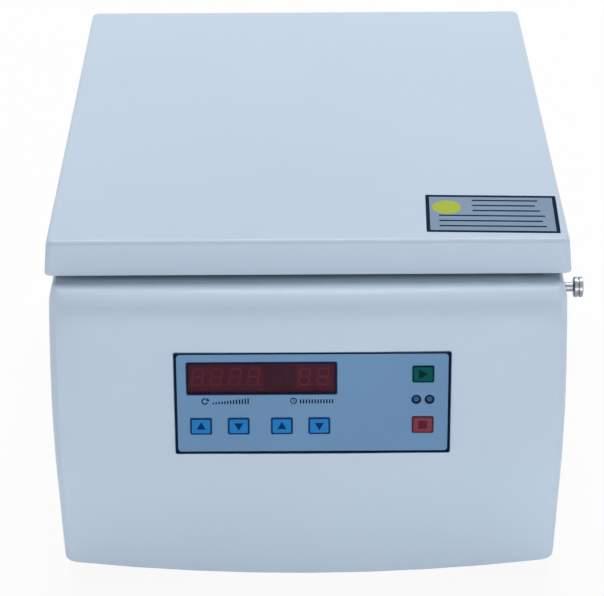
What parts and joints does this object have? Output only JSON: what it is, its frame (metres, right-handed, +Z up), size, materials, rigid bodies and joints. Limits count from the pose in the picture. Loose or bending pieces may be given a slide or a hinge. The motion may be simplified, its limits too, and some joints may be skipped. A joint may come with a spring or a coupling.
{
  "type": "benchtop centrifuge",
  "caption": "Benchtop centrifuge with a hinged flat lid, side lid bolt, bellied front with a membrane control panel, and a fixed-angle tube rotor in a steel bowl.",
  "frame": {"origin": "centre of the bounding box in plan, on the bench under the feet", "axes": "+X to the machine's right seen from the front, +Y to the rear, +Z up"},
  "size_m": [0.364, 0.459, 0.25],
  "materials": {
    "painted_housing": "semi-gloss spray paint, pale blue-white",
    "painted_sheet": "semi-gloss powder coat",
    "sheet_steel": "satin zinc plate",
    "stainless": "brushed stainless steel",
    "rotor_aluminium": "fine-turned, clear anodised",
    "turned_steel": "fine-turned bright steel",
    "rubber": "matt black rubber",
    "black_plastic": "matt black plastic",
    "panel_film": "matt printed polyester film, blue-grey",
    "red_pane": "dark red acrylic",
    "blue_key": "matt film, blue",
    "green_key": "matt film, green",
    "red_key": "matt film, red",
    "lamp": "clear lamp lens, unlit",
    "circuit_board": "green solder mask",
    "motor_paint": "satin dark grey paint",
    "lamination": "varnished steel laminations"
  },
  "bodies": {
    "machine": {"housing_shell": "painted_housing", "base_pan": "sheet_steel", "foot_1": "rubber", "foot_2": "rubber", "foot_3": "rubber", "foot_4": "rubber", "chamber_bowl": "stainless", "chamber_seal": "rubber", "motor_housing": "motor_paint", "motor_mount_plate": "sheet_steel", "mount_damper_1": "rubber", "mount_damper_2": "rubber", "mount_damper_3": "rubber", "mount_damper_4": "rubber", "panel_overlay": "panel_film", "display_window": "red_pane", "display_board": "circuit_board", "speed_display": "black_plastic", "time_display": "black_plastic", "led_run": "lamp", "led_stop": "lamp", "latch_bracket": "sheet_steel", "lid_switch": "black_plastic", "hinge_body_leaf_1": "sheet_steel", "hinge_body_leaf_2": "sheet_steel", "hinge_pin_1": "turned_steel", "hinge_pin_2": "turned_steel", "rear_panel": "painted_sheet", "power_inlet": "black_plastic", "switch_bezel": "black_plastic", "transformer": "lamination", "drive_board": "circuit_board"},
    "lid": {"lid_shell": "painted_housing", "lid_liner": "stainless", "lid_strike": "sheet_steel", "hinge_lid_leaf_1": "sheet_steel", "hinge_lid_leaf_2": "sheet_steel"},
    "lid_bolt": {"latch_bolt": "turned_steel", "latch_knob": "turned_steel"},
    "rotor": {"motor_shaft": "turned_steel", "rotor_head": "rotor_aluminium", "rotor_nut": "turned_steel"},
    "fuse_drawer": {"fuse_drawer": "black_plastic"},
    "power_rocker": {"power_rocker": "black_plastic"},
    "key_speed_up": {"key_speed_up": "blue_key"},
    "key_speed_down": {"key_speed_down": "blue_key"},
    "key_time_up": {"key_time_up": "blue_key"},
    "key_time_down": {"key_time_down": "blue_key"},
    "key_start": {"key_start": "green_key"},
    "key_stop": {"key_stop": "red_key"}
  },
  "joints": [
    {"name": "lid_hinge", "type": "hinge", "parent": "machine", "child": "lid", "pos_m": [-0.0051, 0.22545, 0.2238], "axis": [-1, 0, 0], "range_deg": [0, 78]},
    {"name": "lid_bolt_slide", "type": "slide", "parent": "machine", "child": "lid_bolt", "axis": [1, 0, 0], "range_m": [-0.006, 0]},
    {"name": "rotor_spin", "type": "hinge", "parent": "machine", "child": "rotor", "pos_m": [-0.0051, 0.02095, 0.15], "axis": [0, 0, 1], "continuous": true},
    {"name": "fuse_drawer_slide", "type": "slide", "parent": "machine", "child": "fuse_drawer", "axis": [0, 1, 0], "range_m": [0, 0.012]},
    {"name": "power_rocker_tilt", "type": "hinge", "parent": "machine", "child": "power_rocker", "pos_m": [-0.0631, 0.22005, 0.062], "axis": [1, 0, 0], "range_deg": [0, 16]},
    {"name": "speed_up_press", "type": "slide", "parent": "machine", "child": "key_speed_up", "axis": [0, 0.9848, -0.1736], "range_m": [0, 0.0005], "stiffness_N_per_m": 2000, "springref_m": -0.0002},
    {"name": "speed_down_press", "type": "slide", "parent": "machine", "child": "key_speed_down", "axis": [0, 0.9848, -0.1736], "range_m": [0, 0.0005], "stiffness_N_per_m": 2000, "springref_m": -0.0002},
    {"name": "time_up_press", "type": "slide", "parent": "machine", "child": "key_time_up", "axis": [0, 0.9848, -0.1736], "range_m": [0, 0.0005], "stiffness_N_per_m": 2000, "springref_m": -0.0002},
    {"name": "time_down_press", "type": "slide", "parent": "machine", "child": "key_time_down", "axis": [0, 0.9848, -0.1736], "range_m": [0, 0.0005], "stiffness_N_per_m": 2000, "springref_m": -0.0002},
    {"name": "start_press", "type": "slide", "parent": "machine", "child": "key_start", "axis": [0, 0.9848, -0.1736], "range_m": [0, 0.0005], "stiffness_N_per_m": 2000, "springref_m": -0.0002},
    {"name": "stop_press", "type": "slide", "parent": "machine", "child": "key_stop", "axis": [0, 0.9848, -0.1736], "range_m": [0, 0.0005], "stiffness_N_per_m": 2000, "springref_m": -0.0002}
  ]
}
